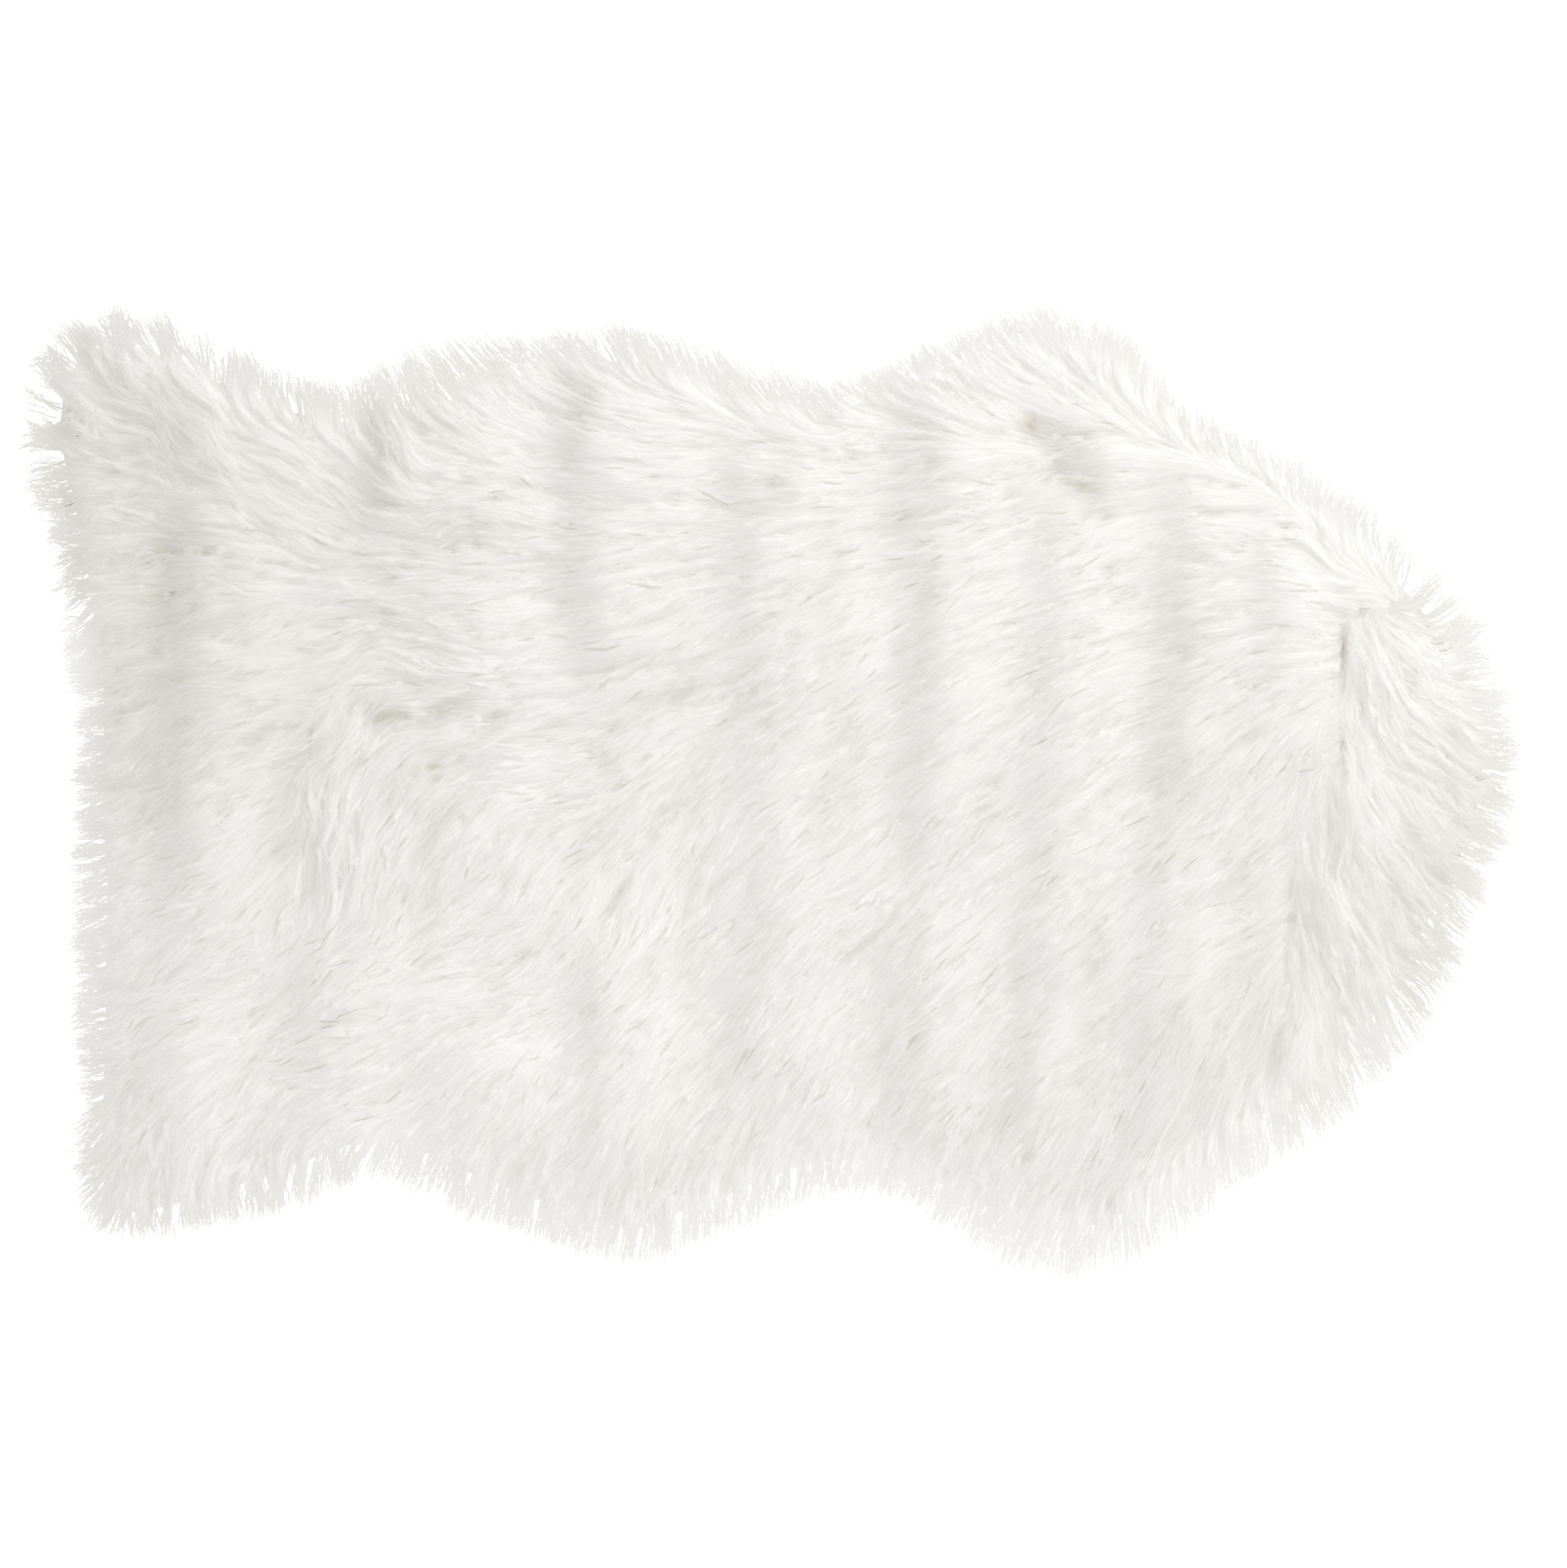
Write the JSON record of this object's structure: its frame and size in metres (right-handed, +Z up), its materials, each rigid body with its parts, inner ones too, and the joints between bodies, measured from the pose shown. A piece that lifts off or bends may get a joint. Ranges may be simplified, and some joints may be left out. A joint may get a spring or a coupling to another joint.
{
  "type": "sheepskin rug",
  "caption": "Long-pile white sheepskin rug lying flat, hair side up: straight tail end, scalloped long edges, rounded nose end, combed pile with soft cross folds and a rim of loose locks.",
  "frame": {"origin": "middle of the rug's box, on the floor", "axes": "+X along the rug to its rounded nose end, +Y across it to the far long edge, +Z up out of the pile"},
  "size_m": [0.9348, 0.6076, 0.0382],
  "materials": {
    "pile": "silky white long pile, combed, warm in its depth"
  },
  "bodies": {
    "root": {"sheepskin": "pile"}
  },
  "joints": []
}
